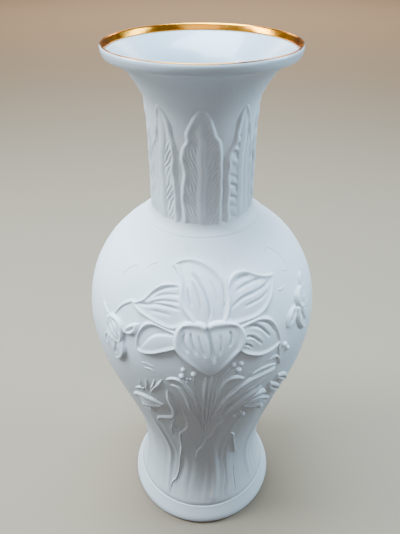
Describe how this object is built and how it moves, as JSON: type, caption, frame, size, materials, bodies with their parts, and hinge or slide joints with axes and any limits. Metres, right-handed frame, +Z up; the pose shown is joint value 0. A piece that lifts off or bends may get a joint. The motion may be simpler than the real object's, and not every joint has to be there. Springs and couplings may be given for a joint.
{
  "type": "porcelain vase",
  "caption": "Slender matte white porcelain vase with a gilded trumpet mouth, a hollow belly, applied neck leaves and blossoms, and a spreading foot plinth.",
  "frame": {"origin": "centre of the foot plinth's underside, on the surface the vase stands on", "axes": "+Z up along the turning axis, -Y towards the main blossom, +X to the right of someone facing it"},
  "size_m": [0.1086, 0.114, 0.26],
  "materials": {
    "bisque": "matte unglazed white porcelain, fine satin grain",
    "glaze": "clear glossy glaze over white porcelain",
    "gilding": "burnished gold lustre"
  },
  "bodies": {
    "root": {"back_berries_left": "bisque", "back_berries_right": "bisque", "back_blade_left": "bisque", "back_blade_right": "bisque", "back_broad_leaf_right": "bisque", "back_bud_spray": "bisque", "back_flank_blossom_left": "bisque", "back_flank_blossom_right": "bisque", "back_flower_spray": "bisque", "back_frond_left": "bisque", "back_lip": "bisque", "back_petal_left": "bisque", "back_petal_right": "bisque", "back_petal_top": "bisque", "back_ribbed_leaf_left": "bisque", "back_ribbed_leaf_right": "bisque", "back_root_left": "bisque", "back_root_middle": "bisque", "back_root_right": "bisque", "back_sepal_left": "bisque", "back_sepal_right": "bisque", "back_stem_bundle": "bisque", "foot_plinth": "bisque", "front_berries_left": "bisque", "front_berries_right": "bisque", "front_blade_left": "bisque", "front_blade_right": "bisque", "front_broad_leaf_right": "bisque", "front_bud_spray": "bisque", "front_flank_blossom_left": "bisque", "front_flank_blossom_right": "bisque", "front_flower_spray": "bisque", "front_frond_left": "bisque", "front_lip": "bisque", "front_petal_left": "bisque", "front_petal_right": "bisque", "front_petal_top": "bisque", "front_ribbed_leaf_left": "bisque", "front_ribbed_leaf_right": "bisque", "front_root_left": "bisque", "front_root_middle": "bisque", "front_root_right": "bisque", "front_sepal_left": "bisque", "front_sepal_right": "bisque", "front_stem_bundle": "bisque", "gold_rim": "gilding", "hollow_body": "bisque", "interior_glaze": "glaze", "lip_band": "glaze", "neck_leaf_1": "bisque", "neck_leaf_2": "bisque", "neck_leaf_3": "bisque", "neck_leaf_4": "bisque", "neck_leaf_5": "bisque", "neck_leaf_6": "bisque", "neck_leaf_7": "bisque", "neck_leaf_8": "bisque", "trumpet_neck": "bisque"}
  },
  "joints": []
}
